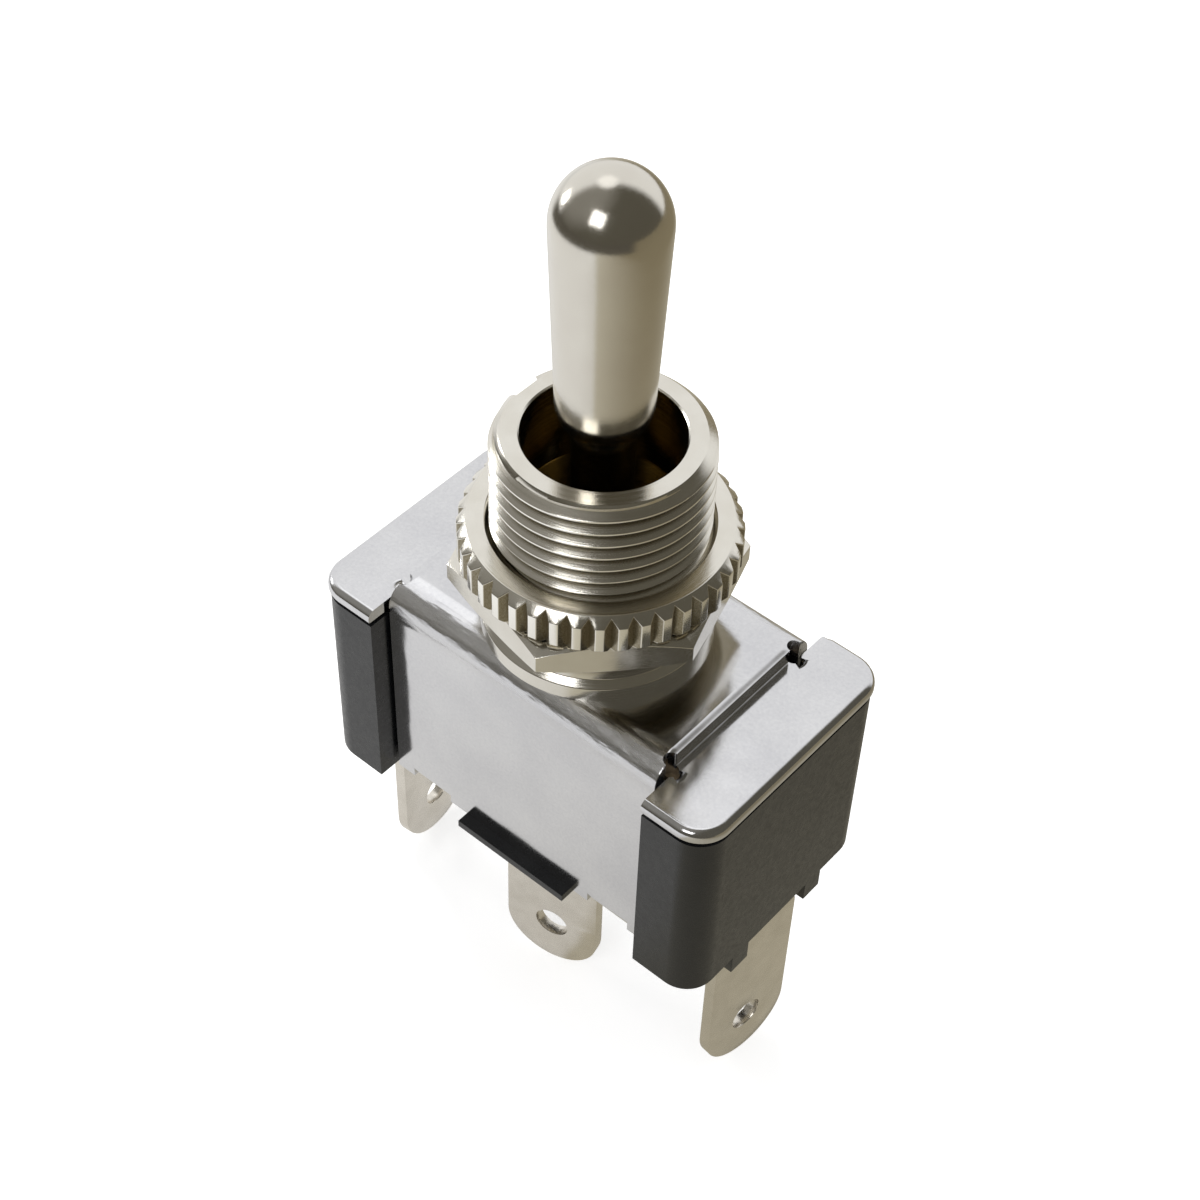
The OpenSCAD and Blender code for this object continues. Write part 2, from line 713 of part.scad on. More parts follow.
module cradle() {
  ear_top = bar_z + ear_w / 2;
  color([0.85, 0.68, 0.35])
  difference() {
    union() {
      translate([-ear_w / 2, -cradle_w / 2, foot_top]) cube([ear_w, cradle_w, cradle_t]);
      for (y = [-1, 1]) {
        translate([-ear_w / 2, y > 0 ? ears_w / 2 : -cradle_w / 2, foot_top]) cube([ear_w, cradle_t, bar_z - foot_top]);
        translate([0, y * (ears_w / 2 + cradle_t / 2), bar_z]) rotate([90, 0, 0]) cylinder(d = ear_w, h = cradle_t, center = true);
      }
    }
    translate([0, 0, bar_z]) rotate([90, 0, 0]) cylinder(r = trunnion_d / 2 + trunnion_gap, h = 2 * cradle_w, center = true);
    translate([0, 0, foot_top - eps]) cylinder(d = rivet_d, h = cradle_t + 2 * eps);
    translate([-ear_w, -ears_w, ear_top]) cube([2 * ear_w, 2 * ears_w, ear_w]);
  }
}

module cradle_rivet() {
  head_z = foot_top + cradle_t;
  color([0.85, 0.68, 0.35])
  union() {
    translate([0, 0, head_z]) cylinder(d1 = rivet_head_d, d2 = rivet_head_d - 0.6, h = rivet_head_h);
    translate([0, 0, base_base]) cylinder(d = rivet_d, h = head_z - base_base + eps);
    translate([0, 0, base_base - rivet_head_h]) cylinder(d1 = rivet_head_d - 0.6, d2 = rivet_head_d, h = rivet_head_h);
  }
}

// A blade with a full-round end and a wire hole, hanging from the floor and twisted below it
module blade_slice(level) {
  translate([-blade_w / 2 + twist_step, -blade_t / 2 + twist_step, level])
    cube([blade_w - 2 * twist_step, blade_t - 2 * twist_step, twist_lap]);
}

module blade(twist) {
  end_r = blade_w / 2;
  neck_base = base_base - twist_h;
  difference() {
    union() {
      translate([-end_r, -blade_t / 2, base_base]) cube([blade_w, blade_t, floor_t + blade_t]);
      hull() {
        blade_slice(base_base + twist_lap);
        rotate(twist) blade_slice(neck_base - 2 * twist_lap);
      }
      rotate(twist) {
        translate([-end_r, -blade_t / 2, blade_end + end_r]) cube([blade_w, blade_t, neck_base - blade_end - end_r]);
        translate([0, 0, blade_end + end_r]) rotate([90, 0, 0]) cylinder(r = end_r, h = blade_t, center = true);
      }
    }
    rotate(twist) translate([0, 0, blade_end + hole_rise]) rotate([90, 0, 0])
      cylinder(d = wire_hole_d, h = 3 * blade_t, center = true);
  }
}

module common_terminal() {
  color([0.80, 0.77, 0.70])
  difference() {
    union() {
      translate([0, -common_y, 0]) blade(common_twist);
      translate([-blade_w / 2, -common_y - blade_t / 2, floor_z]) cube([blade_w, common_foot, blade_t]);
    }
    translate([0, 0, floor_z - eps]) cylinder(d = rivet_d, h = blade_t + 2 * eps);
  }
}

module side_terminal(side, twist) {
  color([0.80, 0.77, 0.70])
  difference() {
    union() {
      translate([side * side_x, -side_y, 0]) rotate(90) blade(twist);
      translate([side > 0 ? side_x + blade_t / 2 - side_foot : -side_x - blade_t / 2, -side_y - blade_w / 2, floor_z])
        cube([side_foot, blade_w, blade_t]);
    }
    translate([side * fixed_x, 0, floor_z - eps]) cylinder(d = fixed_d * 0.5, h = blade_t + 2 * eps);
  }
}

module left_terminal() {
  side_terminal(-1, left_twist);
}

module right_terminal() {
  side_terminal(1, -right_twist);
}

module fixed_contact(side) {
  color([0.86, 0.86, 0.84])
  translate([side * fixed_x, 0, 0]) {
    translate([0, 0, foot_top]) cylinder(d = fixed_d, h = fixed_top - foot_top);
    translate([0, 0, floor_z]) cylinder(d = fixed_d * 0.5, h = blade_t + eps);
  }
}

module fixed_contact_left() {
  fixed_contact(-1);
}

module fixed_contact_right() {
  fixed_contact(1);
}

base();
fibre_sheet();
frame();
bushing();
hex_nut();
serrated_nut();
cross_pin();
lever();
plunger();
plunger_spring();
saddle();
contact_bar();
moving_contact_left();
moving_contact_right();
cradle();
cradle_rivet();
common_terminal();
left_terminal();
right_terminal();
fixed_contact_left();
fixed_contact_right();
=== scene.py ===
"""A panel toggle switch: the finish and fine shape of each piece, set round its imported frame."""

import math

import bmesh
import bpy
from mathutils import Matrix, Vector


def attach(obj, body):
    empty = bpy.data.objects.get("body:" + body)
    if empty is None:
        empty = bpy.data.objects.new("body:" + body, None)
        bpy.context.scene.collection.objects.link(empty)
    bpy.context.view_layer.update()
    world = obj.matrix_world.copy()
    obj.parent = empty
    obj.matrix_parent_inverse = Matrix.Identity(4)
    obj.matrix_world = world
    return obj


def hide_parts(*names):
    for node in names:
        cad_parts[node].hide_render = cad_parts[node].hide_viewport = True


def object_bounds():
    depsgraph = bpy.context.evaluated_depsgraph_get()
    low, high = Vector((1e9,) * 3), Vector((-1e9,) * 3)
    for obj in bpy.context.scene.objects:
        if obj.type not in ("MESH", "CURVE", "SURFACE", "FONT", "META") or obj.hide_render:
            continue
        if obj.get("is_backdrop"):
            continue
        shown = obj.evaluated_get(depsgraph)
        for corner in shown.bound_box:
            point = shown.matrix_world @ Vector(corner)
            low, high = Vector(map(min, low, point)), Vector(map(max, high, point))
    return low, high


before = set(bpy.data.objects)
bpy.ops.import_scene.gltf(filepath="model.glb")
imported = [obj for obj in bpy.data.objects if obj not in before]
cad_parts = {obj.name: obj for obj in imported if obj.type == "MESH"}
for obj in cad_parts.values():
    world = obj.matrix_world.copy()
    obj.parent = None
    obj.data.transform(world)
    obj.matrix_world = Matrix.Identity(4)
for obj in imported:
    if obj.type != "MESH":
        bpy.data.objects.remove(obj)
cad_size = [list(corner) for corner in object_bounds()]


# ---- Base ----
# The base is one phenolic moulding: two end blocks, a waist between the frame's walls, a ledge
# under each wall and four small feet. The frame's clinch tabs hold it from below.
# The pieces are drawn in millimetres, and MM turns those into metres.
MM = 0.001
SHARP = math.radians(28)
FLAT = math.radians(0.4)
BASE_BOTTOM = -22.9
BLOCK_IN = 10.0
BLOCK_FACE = 14.0
BLOCK_TOP = -10.0
SLACK = 0.01


def add(tree, kind, inputs=None, **settings):
    """A shader node with its settings, and its inputs set or linked."""
    made = tree.nodes.new("ShaderNode" + kind)
    for key, value in settings.items():
        setattr(made, key, value)
    for key, value in (inputs or {}).items():
        if isinstance(value, bpy.types.NodeSocket):
            tree.links.new(value, made.inputs[key])
        else:
            made.inputs[key].default_value = value
    return made


def new_material(name, colour, roughness, metallic=0.0):
    """A Principled material, its node tree, and the piece's own coordinates in millimetres."""
    made = bpy.data.materials.new(name)
    made.use_nodes = True
    tree = made.node_tree
    shader = tree.nodes["Principled BSDF"]
    shader.inputs["Base Color"].default_value = (*colour, 1)
    shader.inputs["Roughness"].default_value = roughness
    shader.inputs["Metallic"].default_value = metallic
    place = add(tree, "TexCoord").outputs["Object"]
    in_mm = add(tree, "VectorMath", {0: place, "Scale": 1000.0}, operation="SCALE").outputs[0]
    return made, tree, shader, in_mm


def noise(tree, place, scale, detail=2.0, roughness=0.5):
    """A noise texture's value, which keeps near 0.5."""
    inputs = {"Vector": place, "Scale": scale, "Detail": detail, "Roughness": roughness}
    return add(tree, "TexNoise", inputs).outputs["Fac"]


def stretched(tree, place, scale):
    """The place with each axis scaled, which draws a noise out along the least scaled one."""
    return add(tree, "Mapping", {"Vector": place, "Scale": scale}).outputs[0]


def remap(tree, value, low, high, to_low, to_high):
    """The value's range from low to high, carried over to another range."""
    return add(tree, "MapRange", {
        "Value": value, "From Min": low, "From Max": high, "To Min": to_low, "To Max": to_high,
    }).outputs[0]


def step(tree, value, low, high):
    """Goes smoothly from 0 to 1 as the value goes from low to high."""
    inputs = {"Value": value, "From Min": low, "From Max": high}
    return add(tree, "MapRange", inputs, interpolation_type="SMOOTHSTEP").outputs[0]


def maths(tree, operation, first, *others):
    """The values worked together from the left by one operation."""
    for value in others:
        first = add(tree, "Math", {0: first, 1: value}, operation=operation).outputs[0]
    return first


def product(tree, first, *others):
    """The values multiplied."""
    return maths(tree, "MULTIPLY", first, *others)


def vector_maths(tree, operation, first, second=None):
    """The node of one vector operation on one or two vectors."""
    inputs = {0: first} if second is None else {0: first, 1: second}
    return add(tree, "VectorMath", inputs, operation=operation)


def along(tree, place, direction):
    """How far the place lies along a direction."""
    return vector_maths(tree, "DOT_PRODUCT", place, direction).outputs["Value"]


def blend_colour(tree, factor, first, second):
    """The first colour at factor 0 and the second at 1."""
    made = tree.nodes.new("ShaderNodeMix")
    made.data_type = "RGBA"
    for socket, value in ((0, factor), (6, first), (7, second)):
        if isinstance(value, bpy.types.NodeSocket):
            tree.links.new(value, made.inputs[socket])
        else:
            made.inputs[socket].default_value = (*value, 1) if socket else value
    return made.outputs[2]


def paint(tree, shader, value, low, high, first, second):
    """The base colour goes from the first to the second as the value goes from low to high."""
    colour = blend_colour(tree, remap(tree, value, low, high, 0.0, 1.0), first, second)
    tree.links.new(colour, shader.inputs["Base Color"])


def bump(tree, shader, *layers):
    """Stacks bumps: each layer is a height and its depth in millimetres."""
    normal = None
    for height, depth in layers:
        made = add(tree, "Bump", {"Height": height, "Strength": 1.0, "Distance": depth * MM})
        if normal:
            tree.links.new(normal, made.inputs["Normal"])
        normal = made.outputs[0]
    tree.links.new(normal, shader.inputs["Normal"])


def merged_copy(node):
    """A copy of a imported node's mesh with its corners merged and its flat faces whole."""
    bm = bmesh.new()
    bm.from_mesh(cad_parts[node].data)
    bmesh.ops.remove_doubles(bm, verts=bm.verts, dist=0.001 * MM)
    bmesh.ops.dissolve_limit(bm, angle_limit=FLAT, verts=bm.verts, edges=bm.edges)
    return bm


def ease_edges(bm, width, segments, pick, clamp=True):
    """Rounds the sharp outer edges that pick says yes to, by their middle in millimetres."""
    chosen = [
        e for e in bm.edges
        if e.is_manifold and e.calc_face_angle_signed(0) > SHARP
        and pick((e.verts[0].co + e.verts[1].co) / 2 / MM)
    ]
    bmesh.ops.bevel(
        bm, geom=chosen, offset=width * MM, offset_type="OFFSET", affect="EDGES",
        segments=segments, profile=0.5, material=-1, clamp_overlap=clamp,
    )


def piece(name, bm, material, body, slot, *nodes, even=False):
    """Makes the object, with round forms smooth and edges crisp, and sets it on its body."""
    for face in bm.faces:
        face.smooth = True
    for edge in bm.edges:
        edge.smooth = edge.is_manifold and edge.calc_face_angle(0) < SHARP
    mesh = bpy.data.meshes.new(name)
    bm.to_mesh(mesh)
    bm.free()
    made = bpy.data.objects.new(name, mesh)
    bpy.context.scene.collection.objects.link(made)
    mesh.materials.append(material)
    if even:
        weighted = made.modifiers.new("even normals", "WEIGHTED_NORMAL")
        weighted.keep_sharp = True
        weighted.weight = 100
    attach(made, body)
    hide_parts(*nodes)


phenolic, tree, shader, at = new_material("phenolic", (0.010, 0.011, 0.013), 0.30)
flow = noise(tree, at, 0.35, 3.0)
grain = noise(tree, at, 9.0, 3.0, 0.6)
specks = noise(tree, at, 3.2, 1.0)
paint(tree, shader, flow, 0.35, 0.65, (0.008, 0.009, 0.011), (0.014, 0.015, 0.017))
tree.links.new(remap(tree, specks, 0.3, 0.7, 0.26, 0.36), shader.inputs["Roughness"])
bump(tree, shader, (grain, 0.008), (flow, 0.02))

bm = merged_copy("base")
ease_edges(bm, 0.16, 3, lambda p: (
    p.z < BASE_BOTTOM + SLACK and abs(p.x) > BLOCK_IN
    or abs(p.x) > BLOCK_FACE and p.z > BLOCK_TOP
))
piece("base_moulding", bm, phenolic, "housing", "phenolic", "base", even=True)


# ---- Fibre sheet ----
# A sheet of vulcanised fibre lies on the base's rim and keeps the contacts clear of the frame.
# It is punched from board and clamped when the frame is clinched, so only its edge shows.
fibre, tree, shader, at = new_material("vulcanised fibre", (0.30, 0.22, 0.13), 0.8)
strands = noise(tree, stretched(tree, at, (1.0, 1.0, 12.0)), 3.0, 4.0)
paint(tree, shader, strands, 0.3, 0.7, (0.20, 0.14, 0.08), (0.36, 0.27, 0.16))
bump(tree, shader, (strands, 0.02))


def finish_node(node, material):
    """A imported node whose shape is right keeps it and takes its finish."""
    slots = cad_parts[node].data.materials
    slots.clear()
    slots.append(material)


finish_node("fibre_sheet", fibre)


# ---- Frame ----
# The frame is one stamping of thin steel, bent over the base and bright plated: a raised middle
# with two walls, a step down to each end plate, and four clinch tabs folded in under the base.
PLATE_IN = 9.92
PLATE_EASED_X, PLATE_EASED_Y = 10.05, 7.75
PLATE_BACK = 8.0
WALL_LOW = -20

plated, tree, shader, at = new_material("bright plated sheet", (0.70, 0.70, 0.72), 0.16, 1.0)
rolled = noise(tree, stretched(tree, at, (0.5, 7.0, 7.0)), 2.2, 4.0)
haze = noise(tree, at, 0.22, 3.0)
grit = noise(tree, at, 14.0, 2.0)
mottle = noise(tree, at, 5.0, 4.0, 0.7)
waves = noise(tree, at, 0.30, 1.0)
crumple = noise(tree, stretched(tree, at, (0.5, 1.6, 1.6)), 1.0)
shade = maths(tree, "ADD", product(tree, haze, 0.5), product(tree, mottle, 0.5))
paint(tree, shader, shade, 0.38, 0.62, (0.64, 0.64, 0.66), (0.73, 0.73, 0.74))
# the bends into the walls are stretched, so they are duller and a little crumpled
away = add(tree, "SeparateXYZ", {0: vector_maths(tree, "ABSOLUTE", at).outputs[0]}).outputs
bent = product(
    tree, step(tree, away["Y"], 5.1, 5.7), step(tree, away["Z"], 9.6, 8.7),
    step(tree, away["X"], 9.9, 9.6),
)
streaks = remap(tree, rolled, 0.35, 0.75, 0.0, 0.04)
hazy = remap(tree, haze, 0.3, 0.7, 0.08, 0.14)
tree.links.new(
    maths(tree, "ADD", streaks, hazy, product(tree, bent, 0.16)), shader.inputs["Roughness"],
)
# the flat between the bends stands a little proud of them
proud = product(tree, step(tree, away["Y"], 5.7, 4.6), step(tree, away["X"], 9.8, 9.2))
bump(
    tree, shader, (waves, 0.045), (product(tree, crumple, bent), 0.10), (proud, 0.13),
    (rolled, 0.0010), (grit, 0.0010),
)

bm = merged_copy("frame")
# the end plates' back inner corners, upper edges and lower edges, then the walls' lower edges
ease_edges(bm, 0.60, 5, lambda p: (
    abs(abs(p.x) - PLATE_IN) < SLACK and p.y > PLATE_BACK and -9.2 < p.z < -8.5
))
ease_edges(bm, 0.48, 5, lambda p: (
    (abs(p.x) > PLATE_EASED_X or abs(p.y) > PLATE_EASED_Y) and p.z > -8.6
), clamp=False)
ease_edges(bm, 0.12, 2, lambda p: (
    abs(p.x) > PLATE_EASED_X and -10 < p.z < -9.1
), clamp=False)
ease_edges(bm, 0.10, 2, lambda p: p.z < WALL_LOW)
piece("frame_stamping", bm, plated, "housing", "plated_sheet", "frame", even=True)


# ---- Bushing ----
# The bushing is turned from brass, threaded, slotted for a key and nickel plated. Its round collar
# seats on the frame and its tail is staked over inside.
FRAME_TOP = -7.5
PITCH = 0.87
THREAD_R = 5.955
ROOT_R = 5.50
MESH_R = 5.55
THREAD_LOW = -0.5
THREAD_TURN = 12
TOP = 6.1
LEAD = 0.55
MOUTH_R = 4.35
RING_R = 5.38
COLLAR_R, SHOULDER_R = 6.5, 6.1
TAIL_R, TAIL_LOW = 5.2, -8.3
STAKE_R, STAKE_LOW = 5.5, -8.75
FLARE_R = 3.9
RACE_R = 2.78
KEY_HALF = 1.0
KEY_FLOOR = -5.155
KEY_LOW = -4.25
HEX_LOW = -4.4
HEX_TOP = -2.4
NUT_R = 7.7
GULLET_R = 7.28
CHAMFER_R = 7.17
STEPS = 144
MERGE = 0.0005


def rounded(corners, fine=4):
    """A profile through the corners (r, z, rounding), each rounding drawn as a short arc."""
    points = []
    for i, (r, z, radius) in enumerate(corners):
        here = Vector((r, z))
        if not radius or i in (0, len(corners) - 1):
            points.append(here)
            continue
        before = (Vector(corners[i - 1][:2]) - here).normalized()
        after = (Vector(corners[i + 1][:2]) - here).normalized()
        half = before.angle(after) / 2
        reach = radius / math.tan(half)
        middle = here + (before + after).normalized() * (radius / math.sin(half))
        start = (here + before * reach - middle) / radius
        end = (here + after * reach - middle) / radius
        for k in range(fine + 1):
            points.append(middle + start.slerp(end, k / fine) * radius)
    return points


def turned(points, steps=STEPS):
    """A closed profile of (r, z) points in millimetres, turned about the Z axis."""
    bm = bmesh.new()
    verts = [bm.verts.new((p[0] * MM, 0, p[1] * MM)) for p in points]
    edges = [bm.edges.new(pair) for pair in zip(verts, verts[1:])]
    bmesh.ops.spin(
        bm, geom=verts + edges, cent=(0, 0, 0), axis=(0, 0, 1), dvec=(0, 0, 0),
        angle=math.tau, steps=steps, use_merge=True, use_normal_flip=False, use_duplicate=False,
    )
    bmesh.ops.remove_doubles(bm, verts=bm.verts, dist=MERGE * MM)
    bmesh.ops.recalc_face_normals(bm, faces=bm.faces)
    return bm


def cut_across(bm, geom, place, normal, dist=1e-7, clear=False):
    """Cuts the faces along a plane through a place in millimetres, and may clear what is beyond."""
    bmesh.ops.bisect_plane(
        bm, geom=geom, dist=dist, plane_co=[c * MM for c in place], plane_no=normal,
        clear_outer=clear, clear_inner=False,
    )


def everything(bm):
    """All that the mesh is made of."""
    return bm.verts[:] + bm.edges[:] + bm.faces[:]


def turn_about(bm, axis, degrees):
    """Turns the whole mesh about one of its axes."""
    turn = Matrix.Rotation(math.radians(degrees), 3, axis)
    bmesh.ops.rotate(bm, cent=(0, 0, 0), matrix=turn, verts=bm.verts)


def new_verts(grown):
    """The vertices that an extrusion made."""
    return [v for v in grown["geom"] if isinstance(v, bmesh.types.BMVert)]


def close_ring(bm, level):
    """Fills the flat ring between the two open loops at a level."""
    loops = [
        e for e in bm.edges
        if e.is_boundary and all(abs(v.co.z / MM - level) < 0.001 for v in e.verts)
    ]
    bmesh.ops.triangle_fill(bm, edges=loops, use_beauty=True, use_dissolve=False)


def combine(first, second, operation):
    """The two solids joined, cut or shared, as one mesh."""
    objects = []
    for bm in (first, second):
        bmesh.ops.scale(bm, vec=(1 / MM,) * 3, verts=bm.verts)
        mesh = bpy.data.meshes.new("work")
        bm.to_mesh(mesh)
        bm.free()
        made = bpy.data.objects.new("work", mesh)
        bpy.context.scene.collection.objects.link(made)
        objects.append(made)
    work = objects[0].modifiers.new("work", "BOOLEAN")
    work.operation, work.object, work.solver = operation, objects[1], "EXACT"
    bpy.context.view_layer.update()
    result = bmesh.new()
    seen = objects[0].evaluated_get(bpy.context.evaluated_depsgraph_get())
    result.from_mesh(seen.to_mesh())
    for made in objects:
        bpy.data.meshes.remove(made.data)
    bmesh.ops.scale(result, vec=(MM,) * 3, verts=result.verts)
    bmesh.ops.remove_doubles(result, verts=result.verts, dist=MERGE * MM)
    return result


nickel, tree, shader, at = new_material("nickel on brass", (0.66, 0.63, 0.56), 0.14, 1.0)
cloud = noise(tree, at, 0.5, 3.0)
pits = noise(tree, at, 11.0, 2.0)
height = add(tree, "SeparateXYZ", {0: at}).outputs["Z"]
level_place = vector_maths(tree, "MULTIPLY", at, (1, 1, 0)).outputs[0]
radius = vector_maths(tree, "LENGTH", level_place).outputs["Value"]
tool = add(tree, "CombineXYZ", {0: radius, 1: height, 2: 0.0}).outputs[0]
lathe = noise(tree, tool, 13.0, 3.0, 0.6)
clouded = remap(tree, cloud, 0.3, 0.7, 0.0, 1.0)
clean = blend_colour(tree, clouded, (0.72, 0.69, 0.62), (0.78, 0.755, 0.69))
# handling wears the thread's crests and the nut's teeth bright, and their bright colour is also a
# painted highlight for the crest glints
over_hex = step(tree, height, HEX_TOP + 0.02, HEX_TOP + 0.10)
thread_crest = product(
    tree, step(tree, radius, THREAD_R - 0.03, THREAD_R - 0.005),
    step(tree, radius, THREAD_R + 0.045, THREAD_R + 0.015),
)
tooth_crest = product(tree, step(tree, radius, NUT_R - 0.04, NUT_R - 0.005), over_hex)
clean = blend_colour(
    tree, maths(tree, "ADD", thread_crest, tooth_crest), clean, (0.95, 0.93, 0.87),
)
# painted shade: the thread's root, the gaps between the nut's teeth and the collar under the
# hexagon are painted dark and made rougher, and the bore is painted dark brass, where shade falls
past_chamfer = maths(tree, "SUBTRACT", maths(tree, "ADD", radius, height), CHAMFER_R)
root = product(
    tree, step(tree, radius, ROOT_R + 0.30, ROOT_R + 0.08),
    step(tree, radius, ROOT_R - 0.09, ROOT_R - 0.04), step(tree, height, TOP - 0.45, TOP - 0.65),
)
gullet = product(
    tree, step(tree, radius, GULLET_R - 0.01, GULLET_R + 0.005),
    step(tree, radius, NUT_R - 0.015, NUT_R - 0.07),
    step(tree, past_chamfer, -0.03, -0.10), over_hex,
)
under = product(
    tree, step(tree, height, HEX_LOW - 1.7, HEX_LOW - 0.8),
    step(tree, height, HEX_LOW + 0.03, HEX_LOW + 0.01),
    step(tree, radius, MESH_R + 0.05, MESH_R + 0.15),
)
# painted shade: the bore is painted a dark brass colour where shade falls inside it
bore = product(
    tree, step(tree, radius, MOUTH_R + 0.03, MOUTH_R - 0.01),
    step(tree, height, TOP - 0.12, TOP - 0.20),
)
recess_shade = maths(tree, "MAXIMUM", root, gullet, under)
recess_shade = product(tree, recess_shade, remap(tree, pits, 0.3, 0.7, 0.75, 1.0))
# the painted shade of the recesses goes into the base colour
shaded_recesses = blend_colour(tree, recess_shade, clean, (0.24, 0.205, 0.13))
tree.links.new(
    blend_colour(tree, bore, shaded_recesses, (0.34, 0.27, 0.13)), shader.inputs["Base Color"],
)
turning = remap(tree, lathe, 0.3, 0.7, 0.10, 0.24)
tree.links.new(
    maths(tree, "ADD", turning, product(tree, recess_shade, 0.15)), shader.inputs["Roughness"],
)
bump(tree, shader, (lathe, 0.0035), (pits, 0.0012))

# the thread: the root, sides and rounded crest of each turn, spun up a helix and cut level at
# both ends
bm = bmesh.new()
ridge = (
    (-0.36, ROOT_R), (-0.085, THREAD_R - 0.05), (-0.05, THREAD_R - 0.012), (0, THREAD_R),
    (0.05, THREAD_R - 0.012), (0.085, THREAD_R - 0.05), (0.36, ROOT_R),
)
chain = []
start = THREAD_LOW - 3 * PITCH
turns = math.ceil((TOP - start) / PITCH) + 2
for k in range(turns):
    for dz, r in ridge:
        chain.append(bm.verts.new((r * MM, 0, (start + k * PITCH + dz) * MM)))
edges = [bm.edges.new(pair) for pair in zip(chain, chain[1:])]
turn_about(bm, "Z", THREAD_TURN)
bmesh.ops.spin(
    bm, geom=chain + edges, cent=(0, 0, 0), axis=(0, 0, 1), dvec=(0, 0, PITCH * MM / STEPS),
    angle=math.tau, steps=STEPS, use_merge=False, use_normal_flip=False, use_duplicate=False,
)
bmesh.ops.remove_doubles(bm, verts=bm.verts, dist=0.003 * MM)
for level, sign in ((THREAD_LOW, -1), (TOP, 1)):
    cut_across(bm, everything(bm), (0, 0, level), (0, 0, sign), clear=True)
# the lead-in: the skin is cut twice below the top and drawn in to a cone
for level in (TOP - LEAD, TOP - LEAD / 2):
    cut_across(bm, everything(bm), (0, 0, level), (0, 0, 1))
for vert in bm.verts:
    limit = (RING_R + (TOP - vert.co.z / MM) * (THREAD_R + 0.02 - RING_R) / LEAD) * MM
    if vert.co.xy.length > limit:
        vert.co.xy *= limit / vert.co.xy.length
# the rest of the bushing, from the thread's foot down and back up the bore
profile = rounded([
    (ROOT_R - 0.1, THREAD_LOW, 0), (MESH_R, THREAD_LOW - 0.1, 0), (MESH_R, KEY_LOW, 0),
    (MESH_R, HEX_LOW, 0.08), (SHOULDER_R, HEX_LOW, 0.2), (SHOULDER_R, -6.2, 0.12),
    (COLLAR_R, -6.6, 0.15), (COLLAR_R, FRAME_TOP, 0), (TAIL_R, FRAME_TOP, 0),
    (TAIL_R, TAIL_LOW, 0), (STAKE_R, TAIL_LOW, 0.1), (STAKE_R, STAKE_LOW, 0.1),
    (FLARE_R, STAKE_LOW, 0), (RACE_R, -4.28, 0.1), (RACE_R, -1.58, 0.2),
    (MOUTH_R, 0.7, 0.3), (MOUTH_R, TOP - 0.08, 0), (MOUTH_R + 0.08, TOP, 0),
], 6)
rest = turned(profile)
work = bpy.data.meshes.new("work")
rest.to_mesh(work)
rest.free()
bm.from_mesh(work)
bpy.data.meshes.remove(work)
close_ring(bm, TOP)
close_ring(bm, THREAD_LOW)
# the keyway: the skin is cut along its two sides, and what lies between is set back to its floor
for side in (-KEY_HALF, SLACK - KEY_HALF, KEY_HALF - SLACK, KEY_HALF):
    near = [v for v in bm.verts if v.co.x < -4.9 * MM and abs(v.co.y) < 2.2 * MM]
    around = {f for v in near for f in v.link_faces}
    corners = {v for f in around for v in f.verts}
    sides = {e for f in around for e in f.edges}
    cut_across(bm, [*corners, *sides, *around], (0, side, 0), (0, 1, 0), dist=1e-8)
for vert in bm.verts:
    x, y, z = vert.co / MM
    if x < KEY_FLOOR and abs(y) < KEY_HALF - SLACK / 2 and z > KEY_LOW - SLACK:
        vert.co.x = KEY_FLOOR * MM
bmesh.ops.dissolve_degenerate(bm, dist=MERGE * MM, edges=bm.edges)
bmesh.ops.recalc_face_normals(bm, faces=bm.faces)
piece("bushing_turned", bm, nickel, "housing", "nickel_brass", "bushing")


# ---- Nuts ----
# The hexagon nut is milled from bar and chamfered. The round nut over it has coarse teeth rolled
# round its rim, a flat top face and a countersunk thread. Both are nickel-plated brass.
HEX_AF = 14.3
HEX_CORNER = HEX_AF / math.sqrt(3)
HEX_TURN = 47
NUT_BORE = 5.58

bm = bmesh.new()
bmesh.ops.create_cone(
    bm, cap_ends=True, cap_tris=False, segments=6, radius1=HEX_CORNER * MM,
    radius2=HEX_CORNER * MM, depth=(HEX_TOP - HEX_LOW + 1) * MM,
)
turn_about(bm, "Z", HEX_TURN - 90)
bmesh.ops.translate(bm, vec=(0, 0, (HEX_TOP + HEX_LOW) / 2 * MM), verts=bm.verts)
ring = [
    (NUT_BORE, HEX_LOW), (7.0, HEX_LOW), (8.4, HEX_LOW + 0.45), (8.4, HEX_TOP - 0.62),
    (7.02, HEX_TOP), (NUT_BORE, HEX_TOP), (NUT_BORE, HEX_LOW),
]
bm = combine(bm, turned(ring), "INTERSECT")
bmesh.ops.dissolve_limit(bm, angle_limit=FLAT, verts=bm.verts, edges=bm.edges)
ease_edges(bm, 0.05, 2, lambda p: p.xy.length > 6)
piece("hex_nut_milled", bm, nickel, "housing", "nickel_brass", "hex_nut", even=True)

# the round nut: each tooth has a point in its gullet and two at the ends of its crest
TEETH = 40
CREST = 0.38
SPARE = 0.5
bm = bmesh.new()
bmesh.ops.create_circle(bm, cap_ends=True, segments=3 * TEETH, radius=NUT_R * MM)
for vert in bm.verts:
    third = round(math.atan2(vert.co.y, vert.co.x) / math.tau * TEETH * 3)
    shift = (0, 1 / 6 - CREST / 2, CREST / 2 - 1 / 6)[third % 3]
    angle = (third / 3 + shift) * math.tau / TEETH
    r = (GULLET_R if third % 3 == 0 else NUT_R) * MM
    vert.co = (r * math.cos(angle), r * math.sin(angle), (HEX_TOP - SPARE) * MM)
grown = bmesh.ops.extrude_face_region(bm, geom=bm.faces[:])
bmesh.ops.translate(bm, vec=(0, 0, (2 * SPARE - HEX_TOP) * MM), verts=new_verts(grown))
bmesh.ops.recalc_face_normals(bm, faces=bm.faces)
